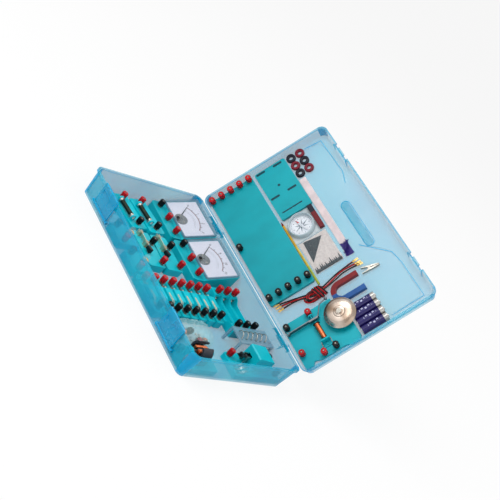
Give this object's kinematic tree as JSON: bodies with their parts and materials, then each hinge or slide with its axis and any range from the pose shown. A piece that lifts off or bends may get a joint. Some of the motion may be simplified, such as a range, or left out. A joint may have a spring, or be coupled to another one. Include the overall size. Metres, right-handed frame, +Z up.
{
  "type": "electric circuit kit",
  "caption": "Hinged translucent case with meters, knife switches, lamps, resistors, battery boxes, relay, motor and coil; bell, magnets, compass, cells and leads in the lid.",
  "frame": {"origin": "centre of the tray's underside", "axes": "+X along the lid hinge towards the relay and motor side, +Y from the latches to the hinge, +Z up"},
  "size_m": [0.39, 0.3889, 0.2692],
  "materials": {
    "blue_case": "translucent moulded case",
    "pale_blue_lid": "pale translucent moulded lid",
    "steel": "plain steel",
    "teal_plastic": "moulded, satin gloss",
    "white_card": "printed card",
    "clear_plastic": "clear moulded plastic",
    "black_plastic": "moulded, satin",
    "dark_metal": "painted pointer",
    "nickel": "nickel plated",
    "red_plastic": "moulded, glossy",
    "enamelled_wire": "varnished winding",
    "brass": "plain",
    "clear_glass": "blown glass",
    "copper_wire": "copper wire",
    "magnet_iron": "plain magnet",
    "clear_film": "thin film bag with small spares",
    "pale_grey_plastic": "moulded, satin",
    "magnet_paint": "two-colour gloss paint",
    "yellow_plastic": "smooth rod",
    "indigo_cell": "printed sleeve with plain ends",
    "nickel_gong": "turned, bright",
    "red_lead": "soft insulated lead",
    "black_lead": "soft insulated lead"
  },
  "bodies": {
    "base": {"base_black_knobs": "black_plastic", "base_red_knobs": "red_plastic", "base_studs": "nickel", "base_tray": "blue_case", "battery_box_1": "teal_plastic", "battery_box_2": "teal_plastic", "battery_box_3": "teal_plastic", "contact_strips": "nickel", "hinge_pins": "steel", "instrument_boards": "teal_plastic", "lamp_bulbs": "clear_glass", "lamp_sockets": "nickel", "meter_cases": "teal_plastic", "meter_covers": "clear_plastic", "meter_dials": "white_card", "meter_movements": "black_plastic", "motor_frame": "teal_plastic", "motor_magnets": "magnet_iron", "parts_bag": "clear_film", "relay_board": "teal_plastic", "relay_coil": "enamelled_wire", "relay_cover": "teal_plastic", "resistor_boards": "teal_plastic", "resistor_tubes": "enamelled_wire", "solenoid_coil": "copper_wire", "solenoid_plate": "clear_plastic", "switch_jaws": "brass"},
    "lid": {"lid_shell": "pale_blue_lid", "resistance_board": "teal_plastic", "lid_studs": "nickel", "lid_red_knobs": "red_plastic", "lid_black_knobs": "black_plastic", "slotted_plate": "teal_plastic", "spare_rings": "red_plastic", "compass_case": "pale_grey_plastic", "bar_magnet": "magnet_paint", "horseshoe_magnet": "magnet_paint", "filings_box": "clear_plastic", "sample_strip": "white_card", "marker_rod": "yellow_plastic", "battery_cells": "indigo_cell", "bell_board": "teal_plastic", "bell_gong": "nickel_gong", "bell_frame": "steel", "bell_coil": "enamelled_wire", "red_leads": "red_lead", "black_leads": "black_lead", "lead_ends": "nickel"},
    "latch_left": {"latch_left": "blue_case"},
    "latch_right": {"latch_right": "blue_case"},
    "ammeter_needle": {"ammeter_needle": "dark_metal"},
    "voltmeter_needle": {"voltmeter_needle": "dark_metal"},
    "relay_lever": {"relay_lever": "black_plastic"},
    "motor_rotor": {"motor_rotor": "copper_wire"},
    "compass_needle": {"compass_needle": "dark_metal"},
    "bell_armature": {"bell_armature": "steel"},
    "switch_rear": {"switch_blade_rear": "brass", "switch_handle_rear": "black_plastic"},
    "switch_front": {"switch_blade_front": "brass", "switch_handle_front": "black_plastic"}
  },
  "joints": [
    {"name": "lid_hinge", "type": "hinge", "parent": "base", "child": "lid", "pos_m": [0, 0.1284, 0.0425], "axis": [1, 0, 0], "range_deg": [0, 115.4]},
    {"name": "latch_left_pivot", "type": "hinge", "parent": "base", "child": "latch_left", "pos_m": [-0.127, -0.12297, 0.012], "axis": [1, 0, 0], "range_deg": [0, 100]},
    {"name": "latch_right_pivot", "type": "hinge", "parent": "base", "child": "latch_right", "pos_m": [0.127, -0.12297, 0.012], "axis": [1, 0, 0], "range_deg": [0, 100]},
    {"name": "ammeter_pointer", "type": "hinge", "parent": "base", "child": "ammeter_needle", "pos_m": [-0.1423, 0.05833, 0.02336], "axis": [0, 0.2926, -0.9562], "range_deg": [0, 84], "stiffness_Nm_per_rad": 0.0001, "springref_deg": -17.19},
    {"name": "voltmeter_pointer", "type": "hinge", "parent": "base", "child": "voltmeter_needle", "pos_m": [-0.0503, 0.05833, 0.02336], "axis": [0, 0.2926, -0.9562], "range_deg": [0, 84], "stiffness_Nm_per_rad": 0.0001, "springref_deg": -17.19},
    {"name": "switch_rear_pivot", "type": "hinge", "parent": "base", "child": "switch_rear", "pos_m": [-0.087, -0.021, 0.0212], "axis": [0, -1, 0], "range_deg": [0, 50]},
    {"name": "switch_front_pivot", "type": "hinge", "parent": "base", "child": "switch_front", "pos_m": [-0.0885, -0.061, 0.0212], "axis": [0, -1, 0], "range_deg": [0, 50]},
    {"name": "relay_lever_pivot", "type": "hinge", "parent": "base", "child": "relay_lever", "pos_m": [0.154, 0.038, 0.0242], "axis": [1, 0, 0], "range_deg": [-2, 8], "stiffness_Nm_per_rad": 0.03},
    {"name": "motor_spin", "type": "hinge", "parent": "base", "child": "motor_rotor", "pos_m": [0.161, -0.076, 0.0282], "axis": [0, 1, 0], "continuous": true},
    {"name": "compass_spin", "type": "hinge", "parent": "lid", "child": "compass_needle", "pos_m": [-0.052, 0.20168, 0.14741], "axis": [0, 0.9033, -0.4289], "continuous": true},
    {"name": "bell_armature_pivot", "type": "hinge", "parent": "lid", "child": "bell_armature", "pos_m": [0.117, 0.14806, 0.048], "axis": [0, 0.9033, -0.4289], "range_deg": [0, 3.4], "stiffness_Nm_per_rad": 0.02, "springref_deg": -1.72}
  ]
}
